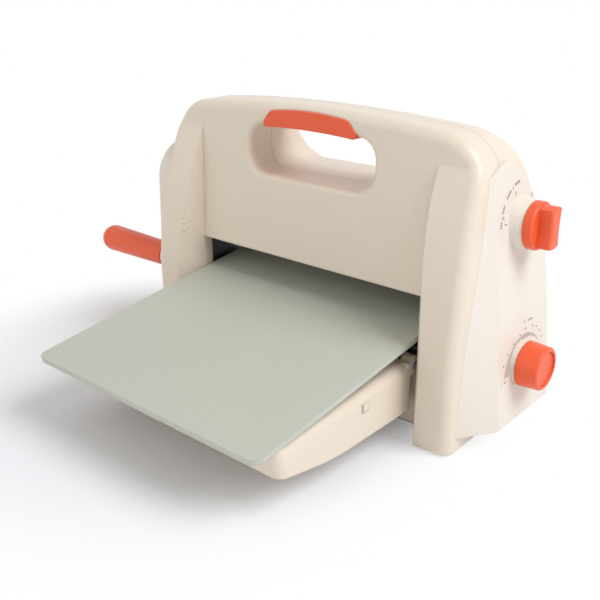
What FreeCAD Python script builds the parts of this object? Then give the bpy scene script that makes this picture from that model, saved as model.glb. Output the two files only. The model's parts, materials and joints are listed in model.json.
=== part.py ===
import FreeCAD, Part
import os
from math import acos, cos, pi, radians, sin, sqrt, tan

# Die cutting machine: +X is the knob side, -Y the front, +Z up.
# The origin is the middle of the footprint, on the surface that the pad stands on. Millimetres.

V = FreeCAD.Vector
FAR = 400.0
MARGIN = 1.0
NEAR = 0.001
TINY = 0.000001

# Pad and base
PAD_HEIGHT = 4.0
PAD_MARGIN = 22.0
PAD_HALF_DEPTH = 38.0
PAD_CORNER = 8.0
BASE_THICK = 4.0
BASE_GAP = 0.5
SHELL_BOTTOM = 2.0

# Casing seen from the front
WALL = 4.0
GEAR_ROOM = 5.0
WAIST_SWELL = 4.0
WAIST_Z = 120.0
SHOULDER_SWELL = 1.0
SHOULDER_DROP = 50.5
CASE_CORNER_RADIUS = 36.0
HANDLE_HEIGHT = 18.5
TOP_RADIUS = 1140.0

# Casing seen from the side
LEG_FOOT_DEPTH = 67.0
LEG_BELLY_DEPTH = 73.0
LEG_BELLY_Z = 80.0
LEG_MERGE_DROP = 27.5
PANEL_LOW_DEPTH = 49.0
PANEL_HIGH_DEPTH = 44.0
PLATE_SIDE_GAP = 2.0
CHEEK_SWELL = 3.0
CHEEK_MIDDLE_DEPTH = 63.0
CHEEK_FLARE = 15.0
SLOT_TOP_Z = 112.0
APRON_TOP_Z = 52.0
FRAME_CLEARANCE = 2.0
BAR_CLEARANCE = 9.0
CASE_EDGE_RADIUS = 8.0
BACK_DEPTH = 65.0
BACK_Z = 67.5
BACK_RADIUS = 221.0
BACK_SWEEP = radians(60.0)
PARTING_Y = -19.0

# Hand hole and its grip insert
HOLE_HALF_WIDTH = 62.0
HOLE_OVER_SHAFT = 14.5
HOLE_HEIGHT = 39.0
HOLE_CORNER_RADIUS = 16.0
HOLE_RIM_RADIUS = 5.0
INSERT_INSET = 12.5
INSERT_SLANT = 11.5
INSERT_HEIGHT = 14.0
INSERT_RISE = 2.0
INSERT_PROUD = 0.8
INSERT_END_RADIUS = 5.0
INSERT_FOOT_RADIUS = 3.0
INSERT_EDGE = 0.6

# Side covers
COVER_WALL = 3.0
RIGHT_COVER_DEPTH = 17.3
RIGHT_FACE_LEAN = 0.095
RIGHT_BOTTOM_Z = 14.0
RIGHT_FRONT_Y = -60.0
RIGHT_BELLY_Y = -64.0
RIGHT_BELLY_Z = 80.0
RIGHT_SHOULDER_Y = -56.0
RIGHT_SHOULDER_DROP = 40.0
RIGHT_CREASE_Y = -28.0
RIGHT_TOP_Y = -14.0
RIGHT_TOP_DROP = 25.5
RIGHT_BACK_Y = 37.0
RIGHT_BACK_DROP = 53.0
RIGHT_REAR_Y = 49.0
RIGHT_REAR_Z = 95.0
RIGHT_HEEL_Y = 51.5
ARCH_BULGE = 8.0
BACK_BULGE = 2.0
FACET_SINK = 2.0
FACET_LEVELS = (0.0, 60.0, 120.0, 180.0, 240.0)
LEFT_COVER_DEPTH = 22.0
LEFT_FACE_LEAN = 0.045
LEFT_BOTTOM_Z = 10.0
LEFT_DEPTH = 55.5
LEFT_ARCH_RADIUS = 32.0
LEFT_TOP_DROP = 45.5
COVER_EDGE_RADIUS = 1.0
LEFT_EDGE_RADIUS = 6.0

# Frame plates and tie rods
FRAME_SETBACK = 2.5
FRAME_THICK = 4.0
FRAME_DEPTH = 38.0
FRAME_OVER_SHAFT = 14.5
FRAME_CORNER = 10.0
ROD_RADIUS = 5.0
ROD_Y = 31.0
ROD_LOW_Z = 25.0
ROD_HIGH_Z = 140.0
SCREW_RADIUS = 2.5
SCREW_HEAD_RADIUS = 4.5
SCREW_HEAD_HEIGHT = 2.5
SCREW_DEPTH = 10.0
SCREW_GAP = 0.1

# Rollers, bearing blocks and gears
ROLLER_RADIUS = 20.0
ROLLER_WALL = 5.0
JOURNAL_RADIUS = 7.0
LOWER_AXIS_Z = 67.5
RUN_GAP = 0.05
SLIDE_GAP = 0.3
BLOCK_HALF_DEPTH = 15.0
ROLLER_END_GAP = 3.5
UPPER_BLOCK_REACH = 6.5
LOWER_BLOCK_REACH = 8.5
LOWER_BLOCK_DROP = 22.5
BLOCK_RISE = 17.5
UPPER_BLOCK_DROP = 17.5
UPPER_BLOCK_RISE = 11.5
BUSH_WALL = 3.0
CARRIAGE_TRAVEL = 1.5
GEAR_MODULE = 2.5
ROLLER_TEETH = 22
PINION_TEETH = 14
GEAR_SIDE_GAP = 1.5
GEAR_WIDTH = 9.0
ADDENDUM = 0.8
DEDENDUM = 1.15
BACKLASH = 0.5
PRESSURE_ANGLE = radians(20.0)
FLANK_POINTS = 4

# Pressure knob, cam shaft and cams
KNOB_Y = 6.0
PRESSURE_Z = 57.5
CAM_MODULE = 1.5
CAM_TEETH = 18
CAM_GEAR_SIDE_GAP = 2.5
CAM_GEAR_WIDTH = 7.0
CONTROL_SHAFT_RADIUS = 5.0
CAM_SIDE_GAP = 2.5
CAM_WIDTH = 5.5
CAM_THROW = 0.75
CAM_GAP = 0.3
KNOB_RADIUS = 17.5
KNOB_FACE_RADIUS = 16.5
KNOB_DEPTH = 17.0
KNOB_RIM = 3.0
KNOB_DISH = 1.5
KNOB_EDGE = 2.0
KNOB_WEB = 6.0
PRESSURE_KNOB_SINK = 2.3

# Mode knob, selector cam, preload bar and springs
MODE_CAM_RADIUS = 13.35
MODE_SHAFT_RADIUS = 4.0
MODE_THROW = 0.8
MODE_GAP = 0.35
MODE_FLANGE_SINK = 7.3
MODE_DISC_DEPTH = 7.0
MODE_BAR_DEPTH = 10.0
MODE_BAR_HALF_WIDTH = 6.5
BAR_FLARE = 1.2
SPRING_ROOM = 10.0
BAR_HEIGHT = 5.0
BAR_HALF_DEPTH = 8.0
BAR_TRAVEL = 1.2
SPRING_RADIUS = 5.0
SPRING_WIRE = 1.8
SPRING_TURNS = 3

# Crank
CRANK_ANGLE = radians(74.0)
CRANK_SHAFT_RADIUS = 6.0
CRANK_BUSH_RADIUS = 8.0
CRANK_BUSH_PROUD = 3.0
CRANK_ARM_GAP = 5.0
CRANK_ARM_THICK = 9.0
CRANK_HUB_RADIUS = 14.0
CRANK_EYE_RADIUS = 12.0
ARM_EDGE = 2.5
GRIP_Y = -30.0
GRIP_Z = 74.0
GRIP_PIN_RADIUS = 4.0
GRIP_ROOT_RADIUS = 11.5
GRIP_END_RADIUS = 13.0
GRIP_LENGTH = 104.0
GRIP_GAP = 0.4
GRIP_HEAD = 3.0

# Front tray
TRAY_INSET = 2.0
TRAY_WALL = 3.5
HINGE_Y = -54.0
HINGE_Z = 60.0
HINGE_PIN_RADIUS = 3.0
HINGE_PIN_REACH = 9.0
KNUCKLE_RADIUS = 7.0
KNUCKLE_LENGTH = 10.0
TRAY_REAR_Y = -60.0
TRAY_REAR_TOP_Z = 64.0
TRAY_TIP_Y = -207.0
TRAY_TIP_TOP_Z = 57.0
TRAY_TIP_BOTTOM_Z = 35.0
TRAY_KEEL_Y = -150.0
TRAY_KEEL_Z = 25.0
TRAY_TIP_ROUND = 6.0
TRAY_TIP_SETBACK = 4.0
TRAY_KEEL_RADIUS = 200.0
TRAY_EDGE_RADIUS = 7.0
NUB_Y = -116.0
NUB_Z = 51.0
NUB_SIZE = 6.0
NUB_PROUD = 1.5
STOP_WIDTH = 14.0
STOP_LOW_Z = 30.0
STOP_HIGH_Z = 40.0

# Carrier plate
PLATE_WIDTH = 228.0
PLATE_LENGTH = 300.0
PLATE_THICK = 4.0
PLATE_TILT = 8.0
PLATE_FRONT_Y = -223.0
PLATE_CORNER = 8.0
PLATE_GAP = 0.3

# Shell fasteners
SHELL_SCREW_INSET = 12.0
SHELL_SCREW_DROP = 35.5
BOSS_RADIUS = 6.0
BASE_SCREW_INSET = 10.0
BASE_SCREW_SETBACK = 13.0
BASE_BOSS_HEIGHT = 14.0

# Places across the machine, outwards from the plate
CHEEK_ROOT_X = PLATE_WIDTH / 2 + PLATE_SIDE_GAP
CHEEK_MIDDLE_X = CHEEK_ROOT_X + CHEEK_SWELL
CHEEK_FRONT_X = CHEEK_ROOT_X + CHEEK_FLARE
ROLLER_HALF_LENGTH = CHEEK_ROOT_X
TRAY_HALF_WIDTH = PLATE_WIDTH / 2 - TRAY_INSET
BLOCK_INNER_X = ROLLER_HALF_LENGTH + ROLLER_END_GAP
FRAME_X = BLOCK_INNER_X + FRAME_SETBACK
FRAME_OUTER_X = FRAME_X + FRAME_THICK
UPPER_BLOCK_OUTER_X = FRAME_OUTER_X + UPPER_BLOCK_REACH
LOWER_BLOCK_OUTER_X = FRAME_OUTER_X + LOWER_BLOCK_REACH
BLOCK_SPRING_X = (BLOCK_INNER_X + UPPER_BLOCK_OUTER_X) / 2
CAM_X = FRAME_OUTER_X + CAM_SIDE_GAP
CAM_GEAR_X = LOWER_BLOCK_OUTER_X + CAM_GEAR_SIDE_GAP
GEAR_INNER_X = LOWER_BLOCK_OUTER_X + GEAR_SIDE_GAP
BASE_HALF_WIDTH = GEAR_INNER_X + GEAR_WIDTH + GEAR_ROOM
WAIST_HALF_WIDTH = BASE_HALF_WIDTH + WAIST_SWELL
SHOULDER_HALF_WIDTH = BASE_HALF_WIDTH + SHOULDER_SWELL
RIGHT_FACE_X = WAIST_HALF_WIDTH + RIGHT_COVER_DEPTH
LEFT_FACE_X = WAIST_HALF_WIDTH + LEFT_COVER_DEPTH
PRESSURE_KNOB_X = RIGHT_FACE_X - PRESSURE_KNOB_SINK
MODE_FLANGE_X = RIGHT_FACE_X - MODE_FLANGE_SINK
CRANK_ARM_X = LEFT_FACE_X + CRANK_ARM_GAP
GRIP_END_X = CRANK_ARM_X + GRIP_LENGTH
PAD_HALF_WIDTH = BASE_HALF_WIDTH - PAD_MARGIN
BASE_SCREW_X = BASE_HALF_WIDTH - BASE_SCREW_INSET
BASE_SCREW_Y = LEG_FOOT_DEPTH - BASE_SCREW_SETBACK
SHELL_SCREW_X = CHEEK_ROOT_X - SHELL_SCREW_INSET
INSERT_HALF_LENGTH = HOLE_HALF_WIDTH - INSERT_INSET
INSERT_TOP_HALF_LENGTH = INSERT_HALF_LENGTH - INSERT_SLANT

# Heights, upwards from the base and then downwards from the top
BASE_BOTTOM_Z = PAD_HEIGHT
BASE_TOP_Z = BASE_BOTTOM_Z + BASE_THICK
UPPER_AXIS_Z = LOWER_AXIS_Z + GEAR_MODULE * ROLLER_TEETH
LOWER_BLOCK_BOTTOM_Z = LOWER_AXIS_Z - LOWER_BLOCK_DROP
UPPER_BLOCK_TOP_Z = UPPER_AXIS_Z + UPPER_BLOCK_RISE
UPPER_BLOCK_BOTTOM_Z = UPPER_AXIS_Z - UPPER_BLOCK_DROP
BAR_BOTTOM_Z = UPPER_BLOCK_TOP_Z + SPRING_ROOM
BAR_TOP_Z = BAR_BOTTOM_Z + BAR_HEIGHT
MODE_Z = BAR_TOP_Z + MODE_GAP + MODE_THROW + MODE_CAM_RADIUS
FRAME_TOP_Z = MODE_Z + FRAME_OVER_SHAFT
HOLE_BOTTOM_Z = MODE_Z + HOLE_OVER_SHAFT
HOLE_TOP_Z = HOLE_BOTTOM_Z + HOLE_HEIGHT
INSERT_TOP_Z = HOLE_TOP_Z + INSERT_HEIGHT
CASE_HEIGHT = HOLE_TOP_Z + HANDLE_HEIGHT
SHOULDER_Z = CASE_HEIGHT - SHOULDER_DROP
LEG_MERGE_Z = CASE_HEIGHT - LEG_MERGE_DROP
SHELL_SCREW_Z = CASE_HEIGHT - SHELL_SCREW_DROP
RIGHT_TOP_Z = CASE_HEIGHT - RIGHT_TOP_DROP
RIGHT_SHOULDER_Z = RIGHT_TOP_Z - RIGHT_SHOULDER_DROP
RIGHT_BACK_Z = RIGHT_TOP_Z - RIGHT_BACK_DROP
LEFT_TOP_Z = CASE_HEIGHT - LEFT_TOP_DROP
LEFT_ARCH_Z = LEFT_TOP_Z - LEFT_ARCH_RADIUS
CRANK_DISTANCE = GEAR_MODULE * (ROLLER_TEETH + PINION_TEETH) / 2
CRANK_Z = UPPER_AXIS_Z + CRANK_DISTANCE * sin(CRANK_ANGLE)
CAM_DISTANCE = CAM_MODULE * CAM_TEETH
CAM_SHAFT_Z = PRESSURE_Z - sqrt(CAM_DISTANCE ** 2 - KNOB_Y ** 2)

# Radii and depths that follow from those places
CRANK_Y = CRANK_DISTANCE * cos(CRANK_ANGLE)
CAM_RADIUS = LOWER_BLOCK_BOTTOM_Z - CAM_GAP - CAM_SHAFT_Z - CAM_THROW
BUSH_RADIUS = JOURNAL_RADIUS + BUSH_WALL
MECHANISM_DEPTH = FRAME_DEPTH + FRAME_CLEARANCE
MECHANISM_TOP_Z = BAR_TOP_Z + BAR_CLEARANCE


def box(x0, x1, y0, y1, z0, z1):
    return Part.makeBox(x1 - x0, y1 - y0, z1 - z0, V(x0, y0, z0))


def rod_x(radius, x0, x1, y, z):
    return Part.makeCylinder(radius, x1 - x0, V(x0, y, z), V(1, 0, 0))


def rod_y(radius, y0, y1, x, z):
    return Part.makeCylinder(radius, y1 - y0, V(x, y0, z), V(0, 1, 0))


def rod_z(radius, z0, z1, x, y):
    return Part.makeCylinder(radius, z1 - z0, V(x, y, z0), V(0, 0, 1))


def join(solids):
    """One clean solid from several that overlap or share faces."""
    return solids[0].fuse(solids[1:]).removeSplitter()


def loop_face(steps):
    """A flat face from points, where a pair of points is an arc through the first to the second."""
    edges = []
    here = steps[0]
    for step in steps[1:]:
        if isinstance(step, tuple):
            middle, end = step
            edges.append(Part.Arc(here, middle, end).toShape())
            here = end
        else:
            edges.append(Part.LineSegment(here, step).toShape())
            here = step
    if here.distanceToPoint(steps[0]) > TINY:
        edges.append(Part.LineSegment(here, steps[0]).toShape())
    return Part.Face(Part.Wire(edges))


def flip_x(shape):
    return shape.mirror(V(0, 0, 0), V(1, 0, 0))


def flip_y(shape):
    return shape.mirror(V(0, 0, 0), V(0, 1, 0))


def across(point):
    return V(-point.x, point.y, point.z)


def panel_depth(z):
    """Half depth of the leaning centre panel at a height."""
    rise = (z - SLOT_TOP_Z) / (CASE_HEIGHT - SLOT_TOP_Z)
    return PANEL_LOW_DEPTH + (PANEL_HIGH_DEPTH - PANEL_LOW_DEPTH) * rise


def circle_through(low, middle, high):
    """Centre and radius of a circle through three (reach, height) points."""
    (x0, z0), (x1, z1), (x2, z2) = low, middle, high
    turn = 2 * (x0 * (z1 - z2) + x1 * (z2 - z0) + x2 * (z0 - z1))
    squares = [x * x + z * z for x, z in (low, middle, high)]
    x = (squares[0] * (z1 - z2) + squares[1] * (z2 - z0) + squares[2] * (z0 - z1)) / turn
    z = (squares[0] * (x2 - x1) + squares[1] * (x0 - x2) + squares[2] * (x1 - x0)) / turn
    return x, z, sqrt((x0 - x) ** 2 + (z0 - z) ** 2)


def arc_reach(low, middle, high, z):
    """How far an arc through three (reach, height) points goes out at a height."""
    centre_x, centre_z, radius = circle_through(low, middle, high)
    return centre_x + sqrt(radius ** 2 - (z - centre_z) ** 2)


def side_points():
    """Three (reach, height) points up the casing's side."""
    return ((BASE_HALF_WIDTH, SHELL_BOTTOM), (WAIST_HALF_WIDTH, WAIST_Z), (SHOULDER_HALF_WIDTH, SHOULDER_Z))


def front_outline(inset):
    """The casing's arch as seen from the front, drawn in by inset, through its whole depth."""
    side_x, side_z, side_radius = circle_through(*side_points())
    side = V(side_x, 0, side_z)
    top = V(0, 0, CASE_HEIGHT - TOP_RADIUS)
    side_reach = side_radius - CASE_CORNER_RADIUS
    top_reach = TOP_RADIUS - CASE_CORNER_RADIUS
    gap = side.sub(top)
    along = (top_reach ** 2 - side_reach ** 2 + gap.Length ** 2) / (2 * gap.Length)
    gap.normalize()
    corner = top + gap * along + V(gap.z, 0, -gap.x) * sqrt(top_reach ** 2 - along ** 2)
    to_side = corner.sub(side)
    to_top = corner.sub(top)
    to_side.normalize()
    to_top.normalize()
    between = to_side + to_top
    between.normalize()
    base = V(side_x + sqrt((side_radius - inset) ** 2 - (SHELL_BOTTOM - side_z) ** 2), 0, SHELL_BOTTOM)
    waist = V(side_x + sqrt((side_radius - inset) ** 2 - (WAIST_Z - side_z) ** 2), 0, WAIST_Z)
    radius = CASE_CORNER_RADIUS - inset
    shoulder, bend, top_end = (corner + turn * radius for turn in (to_side, between, to_top))
    crown = V(0, 0, CASE_HEIGHT - inset)
    face = loop_face([
        base, (waist, shoulder), (bend, top_end), (crown, across(top_end)),
        (across(bend), across(shoulder)), (across(waist), across(base)),
    ])
    face.translate(V(0, -FAR / 2, 0))
    return face.extrude(V(0, FAR, 0))


def leg_pair(inset):
    """The two legs, bellied towards the front and the back, with inner cheeks that curve forwards."""
    merge = panel_depth(LEG_MERGE_Z) - inset
    high = panel_depth(FAR) - inset
    steps = [
        V(0, -(LEG_FOOT_DEPTH - inset), SHELL_BOTTOM),
        (V(0, -(LEG_BELLY_DEPTH - inset), LEG_BELLY_Z), V(0, -merge, LEG_MERGE_Z)),
        V(0, -high, FAR),
        V(0, high, FAR),
        V(0, merge, LEG_MERGE_Z),
        (V(0, LEG_BELLY_DEPTH - inset, LEG_BELLY_Z), V(0, LEG_FOOT_DEPTH - inset, SHELL_BOTTOM)),
    ]
    profile = loop_face(steps)
    side = profile.extrude(V(FAR, 0, 0))
    reach = LEG_BELLY_DEPTH + WALL
    root_x, middle_x, front_x = (x + inset for x in (CHEEK_ROOT_X, CHEEK_MIDDLE_X, CHEEK_FRONT_X))
    plan = loop_face([
        V(root_x, -PANEL_LOW_DEPTH, 0),
        (V(middle_x, -CHEEK_MIDDLE_DEPTH, 0), V(front_x, -reach, 0)),
        V(FAR, -reach, 0),
        V(FAR, reach, 0),
        V(front_x, reach, 0),
        (V(middle_x, CHEEK_MIDDLE_DEPTH, 0), V(root_x, PANEL_LOW_DEPTH, 0)),
    ])
    leg = side.common(plan.extrude(V(0, 0, FAR)))
    return [leg, flip_x(leg)]


def bridge(inset):
    """The leaning panel between the legs, above the slot."""
    bottom = SLOT_TOP_Z + inset
    low = panel_depth(bottom) - inset
    high = panel_depth(FAR) - inset
    half = CHEEK_FRONT_X
    face = loop_face([
        V(-half, -low, bottom), V(-half, -high, FAR), V(-half, high, FAR), V(-half, low, bottom),
    ])
    return face.extrude(V(2 * half, 0, 0))


def hood(inset):
    """All that lies in front of the casing's rounded back, drawn in by inset."""
    middle_y = BACK_DEPTH - BACK_RADIUS
    radius = BACK_RADIUS - inset
    turn = BACK_SWEEP / 2
    top = V(0, middle_y + radius * cos(BACK_SWEEP), BACK_Z + radius * sin(BACK_SWEEP))
    face = loop_face([
        V(0, middle_y + radius, -FAR),
        V(0, middle_y + radius, BACK_Z),
        (V(0, middle_y + radius * cos(turn), BACK_Z + radius * sin(turn)), top),
        V(0, -FAR, top.z),
        V(0, -FAR, -FAR),
    ])
    face.translate(V(-FAR, 0, 0))
    return face.extrude(V(2 * FAR, 0, 0))


def hand_hole(grow):
    """The hand hole through the casing, grown by an amount on every side."""
    radius = HOLE_CORNER_RADIUS + grow
    half = HOLE_HALF_WIDTH + grow
    bottom = HOLE_BOTTOM_Z - grow
    top = HOLE_TOP_Z + grow
    block = box(-half, half, -FAR / 2, FAR / 2, bottom, top)
    return block.makeFillet(radius, edges_along(block, V(0, 1, 0)))


def edges_along(shape, direction):
    """The straight edges of a shape that run along a direction."""
    picked = []
    for edge in shape.Edges:
        run = edge.Vertexes[-1].Point.sub(edge.Vertexes[0].Point)
        if run.Length > 0 and run.cross(direction).Length < TINY * run.Length:
            picked.append(edge)
    return picked


def grip_insert():
    """The arched bar that lines the top of the hand hole."""
    low = HOLE_TOP_Z - INSERT_RISE
    high = INSERT_TOP_Z - INSERT_RISE
    foot = V(INSERT_HALF_LENGTH, 0, low)
    slant = V(INSERT_TOP_HALF_LENGTH, 0, high).sub(foot)
    shoulder = foot + slant * (1 - INSERT_END_RADIUS / slant.Length)
    end = V(INSERT_TOP_HALF_LENGTH - INSERT_END_RADIUS, 0, high)
    bend = ((shoulder + end) / 2 + V(INSERT_TOP_HALF_LENGTH, 0, high)) / 2
    face = loop_face([
        across(foot),
        (V(0, 0, low + INSERT_RISE), foot),
        shoulder,
        (bend, end),
        (V(0, 0, INSERT_TOP_Z), across(end)),
        (across(bend), across(shoulder)),
    ])
    front = -panel_depth(HOLE_TOP_Z) - INSERT_PROUD
    face.translate(V(0, front, 0))
    bar = face.extrude(V(0, PARTING_Y - front, 0))
    feet = [e for e in edges_along(bar, V(0, 1, 0)) if edge_middle(e).z < low + NEAR]
    bar = bar.makeFillet(INSERT_FOOT_RADIUS, feet)
    return bar.makeFillet(INSERT_EDGE, [e for e in bar.Edges if e.BoundBox.YMax < front + NEAR])


def edge_middle(edge):
    return edge.valueAt((edge.FirstParameter + edge.LastParameter) / 2)


def rim_edges(solid, surface):
    """Edges of a solid that lie on a surface, but for those along its depth and at its foot."""
    picked = []
    for edge in solid.Edges:
        middle = edge_middle(edge)
        runs_back = edge.BoundBox.YLength > edge.BoundBox.XLength + edge.BoundBox.ZLength
        if runs_back or middle.z < SHELL_BOTTOM + MARGIN:
            continue
        if Part.Vertex(middle).distToShape(surface)[0] < NEAR:
            picked.append(edge)
    return picked


def casing_block():
    """The outside of the casing as one rounded block, with the hand hole through it."""
    outline = front_outline(0)
    hole = hand_hole(0)
    block = join(leg_pair(0) + [bridge(0)]).common(outline).common(hood(0)).cut(hole).removeSplitter()
    block = block.makeFillet(HOLE_RIM_RADIUS, rim_edges(block, hole.Shells[0]))
    return block.makeFillet(CASE_EDGE_RADIUS, rim_edges(block, outline.Shells[0]))


def casing_cavity():
    """The room inside the casing, clear of the hand hole's walls."""
    room = join(leg_pair(WALL) + [
        bridge(WALL),
        box(-FAR, FAR, -MECHANISM_DEPTH, MECHANISM_DEPTH, 0, MECHANISM_TOP_Z),
    ])
    room = room.common(front_outline(WALL)).common(hood(WALL))
    return room.cut(hand_hole(HOLE_RIM_RADIUS + 2 * WALL))


def shaft_holes():
    """Holes in the casing's sides for the crank and the two knob shafts."""
    return [
        rod_x(CRANK_SHAFT_RADIUS + BASE_GAP, -FAR, -BASE_HALF_WIDTH + 2 * WALL, CRANK_Y, CRANK_Z),
        rod_x(CONTROL_SHAFT_RADIUS + BASE_GAP, BASE_HALF_WIDTH - 2 * WALL, FAR, KNOB_Y, PRESSURE_Z),
        rod_x(MODE_SHAFT_RADIUS + BASE_GAP, BASE_HALF_WIDTH - 2 * WALL, FAR, KNOB_Y, MODE_Z),
    ]


def shell_bosses(block):
    """Screw bosses inside the casing: two across it at the top, four over the base plate."""
    bosses = [rod_y(BOSS_RADIUS, -FAR, FAR, x, SHELL_SCREW_Z) for x in (-SHELL_SCREW_X, SHELL_SCREW_X)]
    posts = []
    for x in (-BASE_SCREW_X, BASE_SCREW_X):
        for side in (-1, 1):
            inner = side * (BASE_SCREW_Y - BOSS_RADIUS)
            outer = side * LEG_BELLY_DEPTH
            posts.append(box(x - BOSS_RADIUS, x + BOSS_RADIUS, min(inner, outer), max(inner, outer),
                             BASE_TOP_Z, BASE_TOP_Z + BASE_BOSS_HEIGHT))
    return [piece.common(block) for piece in bosses + posts]


def aprons():
    """The low walls under the slot, front and rear, that hide the cam shaft."""
    half = CHEEK_ROOT_X + WALL / 2
    front = box(-half, half, -PANEL_LOW_DEPTH, -PANEL_LOW_DEPTH + WALL, BASE_TOP_Z, APRON_TOP_Z)
    return [front, flip_y(front)]


def screw_y(tip, head, x, z):
    """A pan head screw along Y, from its tip to the underside of its head."""
    return join([rod_y(SCREW_RADIUS, tip, head, x, z),
                 rod_y(SCREW_HEAD_RADIUS, head, head + SCREW_HEAD_HEIGHT, x, z)])


def shell_screw_seat():
    """Where the shell screws' heads sit, inside the rounded back."""
    rise = SHELL_SCREW_Z + SCREW_HEAD_RADIUS - BACK_Z
    return BACK_DEPTH - BACK_RADIUS + sqrt(BACK_RADIUS ** 2 - rise ** 2) - 2 * SCREW_HEAD_HEIGHT


def shells():
    """Front and rear shell, with the slot, aprons, bosses and holes."""
    block = casing_block()
    shell = block.cut(casing_cavity()).fuse(shell_bosses(block) + aprons())
    cuts = shaft_holes() + [grip_insert()]
    seat = shell_screw_seat()
    for x in (-SHELL_SCREW_X, SHELL_SCREW_X):
        tip = PARTING_Y - SCREW_DEPTH - MARGIN
        cuts.append(rod_y(SCREW_RADIUS + SCREW_GAP, tip, FAR, x, SHELL_SCREW_Z))
        cuts.append(rod_y(SCREW_HEAD_RADIUS + SCREW_GAP, seat, FAR, x, SHELL_SCREW_Z))
    for x in (-BASE_SCREW_X, BASE_SCREW_X):
        for y in (-BASE_SCREW_Y, BASE_SCREW_Y):
            cuts.append(rod_z(SCREW_RADIUS + SCREW_GAP, 0, BASE_TOP_Z + SCREW_DEPTH + MARGIN, x, y))
    for x in (-TRAY_HALF_WIDTH, TRAY_HALF_WIDTH):
        cuts.append(rod_x(HINGE_PIN_RADIUS, x - HINGE_PIN_REACH, x + HINGE_PIN_REACH, HINGE_Y, HINGE_Z))
    shell = shell.cut(cuts)
    front = shell.common(box(-FAR, FAR, -FAR, PARTING_Y, -FAR, FAR))
    rear = shell.common(box(-FAR, FAR, PARTING_Y, FAR, -FAR, FAR))
    return front, rear


def lean_block(face_x, lean, wall):
    """All that lies inside a side cover's leaning face, drawn in by a wall, from the middle outwards."""
    low, high = 0.0, CASE_HEIGHT
    face = loop_face([
        V(0, -FAR / 2, low), V(face_x - wall - lean * low, -FAR / 2, low),
        V(face_x - wall - lean * high, -FAR / 2, high), V(0, -FAR / 2, high),
    ])
    return face.extrude(V(0, FAR, 0))


def face_edges(cover, face_x, lean):
    """The edges round a side cover's leaning face."""
    return [e for e in cover.Edges
            if abs(edge_middle(e).x + lean * edge_middle(e).z - face_x) < NEAR]


def bulged(start, end, bulge):
    """An arc from start to end that swells by bulge, to its left, at its middle."""
    run = end.sub(start)
    left = V(0, -run.z, run.y)
    left.normalize()
    return ((start + end) / 2 + left * bulge, end)


def right_cover_outline(wall):
    """The arch of the right cover as seen from its side, drawn in by a wall."""
    front = V(0, RIGHT_FRONT_Y + wall, RIGHT_BOTTOM_Z + wall)
    belly = V(0, RIGHT_BELLY_Y + wall, RIGHT_BELLY_Z)
    shoulder = V(0, RIGHT_SHOULDER_Y + wall, RIGHT_SHOULDER_Z)
    top = V(0, RIGHT_TOP_Y, RIGHT_TOP_Z - wall)
    back = V(0, RIGHT_BACK_Y - wall, RIGHT_BACK_Z)
    rear = V(0, RIGHT_REAR_Y - wall, RIGHT_REAR_Z)
    heel = V(0, RIGHT_HEEL_Y - wall, RIGHT_BOTTOM_Z + wall)
    face = loop_face([
        front, (belly, shoulder), bulged(shoulder, top, ARCH_BULGE), bulged(top, back, ARCH_BULGE),
        bulged(back, rear, BACK_BULGE), heel,
    ])
    return face.extrude(V(FAR, 0, 0))


def right_facet(wall):
    """What the front facet of the right cover takes away: it runs from the leg's edge to the crease."""
    leg = ((LEG_FOOT_DEPTH, SHELL_BOTTOM), (LEG_BELLY_DEPTH, LEG_BELLY_Z),
           (panel_depth(LEG_MERGE_Z), LEG_MERGE_Z))
    sections = []
    for z in FACET_LEVELS:
        edge = V(arc_reach(*side_points(), z) - FACET_SINK - wall, CASE_EDGE_RADIUS - arc_reach(*leg, z), z)
        crease = V(RIGHT_FACE_X - RIGHT_FACE_LEAN * z - wall, RIGHT_CREASE_Y, z)
        along = crease.sub(edge)
        along.normalize()
        near = edge - along * FAR / 4
        far = crease + along * FAR / 4
        ahead = V(0, -FAR, 0)
        sections.append(Part.makePolygon([near, far, far + ahead, near + ahead, near]))
    return Part.makeLoft(sections, True)


def right_cover_block(wall):
    """The right cover as a full block down to the machine's middle, with a soft edge round its face."""
    block = right_cover_outline(wall).common(lean_block(RIGHT_FACE_X, RIGHT_FACE_LEAN, wall))
    block = block.makeFillet(COVER_EDGE_RADIUS, face_edges(block, RIGHT_FACE_X - wall, RIGHT_FACE_LEAN))
    return block.cut(right_facet(wall))


def right_control_cover():
    """The arch-topped control panel, hollow, with a boss behind each knob."""
    outside = front_outline(0)
    cover = right_cover_block(0).cut(outside)
    room = right_cover_block(COVER_WALL).cut(outside)
    for z, radius in ((PRESSURE_Z, CONTROL_SHAFT_RADIUS), (MODE_Z, MODE_SHAFT_RADIUS)):
        room = room.cut(rod_x(radius + COVER_WALL, 0, FAR, KNOB_Y, z))
    cover = cover.cut(room)
    for z, radius in ((PRESSURE_Z, CONTROL_SHAFT_RADIUS), (MODE_Z, MODE_SHAFT_RADIUS)):
        cover = cover.cut(rod_x(radius + RUN_GAP, 0, FAR, KNOB_Y, z))
    return cover


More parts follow.
